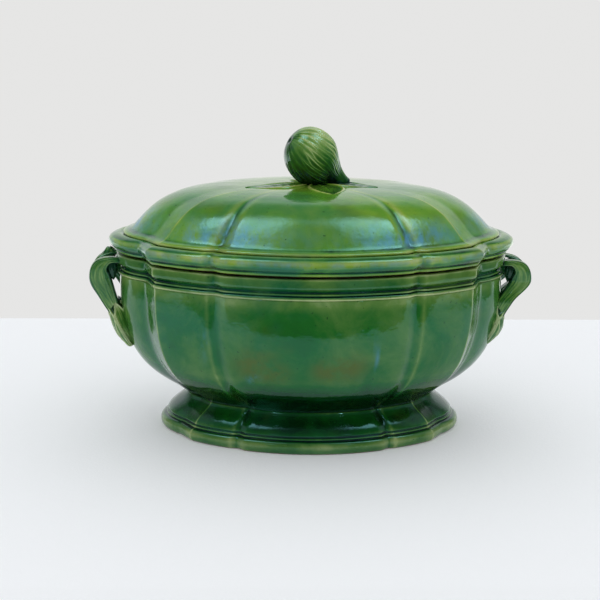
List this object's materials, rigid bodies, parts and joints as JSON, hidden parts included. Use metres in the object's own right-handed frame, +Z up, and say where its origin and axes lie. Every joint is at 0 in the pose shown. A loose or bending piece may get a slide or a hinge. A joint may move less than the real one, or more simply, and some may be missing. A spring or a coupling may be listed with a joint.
{
  "type": "lidded soup tureen",
  "caption": "Lobed oval soup tureen in green glazed earthenware on a pedestal foot, with branch handles and a lift-off domed lid with a fig knob.",
  "frame": {"origin": "on the surface that the foot stands on, under the middle of the bowl", "axes": "+X from the left handle to the right handle, +Y from the front to the back, +Z up"},
  "size_m": [0.3768, 0.249, 0.2559],
  "materials": {
    "foot_glaze": "glossy translucent green lead glaze, dark where it pools",
    "bowl_glaze": "glossy translucent green lead glaze",
    "collar_glaze": "glossy translucent green lead glaze",
    "lid_glaze": "glossy translucent green lead glaze, yellower on the edges",
    "handle_glaze": "glossy translucent green lead glaze over modelled veins",
    "fig_glaze": "glossy translucent green lead glaze over modelled ribs",
    "leaf_glaze": "glossy translucent green lead glaze",
    "bare_clay": "matt fired earthenware where the lid rests"
  },
  "bodies": {
    "tureen": {"foot": "foot_glaze", "bowl": "bowl_glaze", "collar": "collar_glaze", "left_front_stem": "handle_glaze", "left_rear_stem": "handle_glaze", "left_front_leaf": "handle_glaze", "left_rear_leaf": "handle_glaze", "right_front_stem": "handle_glaze", "right_rear_stem": "handle_glaze", "right_front_leaf": "handle_glaze", "right_rear_leaf": "handle_glaze"},
    "lid": {"lid_dome": "lid_glaze", "lid_rim": "lid_glaze", "lid_flange": "bare_clay", "fig": "fig_glaze", "fig_stalk": "fig_glaze", "leaf_front": "leaf_glaze", "leaf_left": "leaf_glaze", "leaf_right": "leaf_glaze", "leaf_back": "leaf_glaze"}
  },
  "joints": [
    {"name": "lid_lift", "type": "slide", "parent": "tureen", "child": "lid", "axis": [0, 0, 1], "range_m": [0, 0.15]}
  ]
}
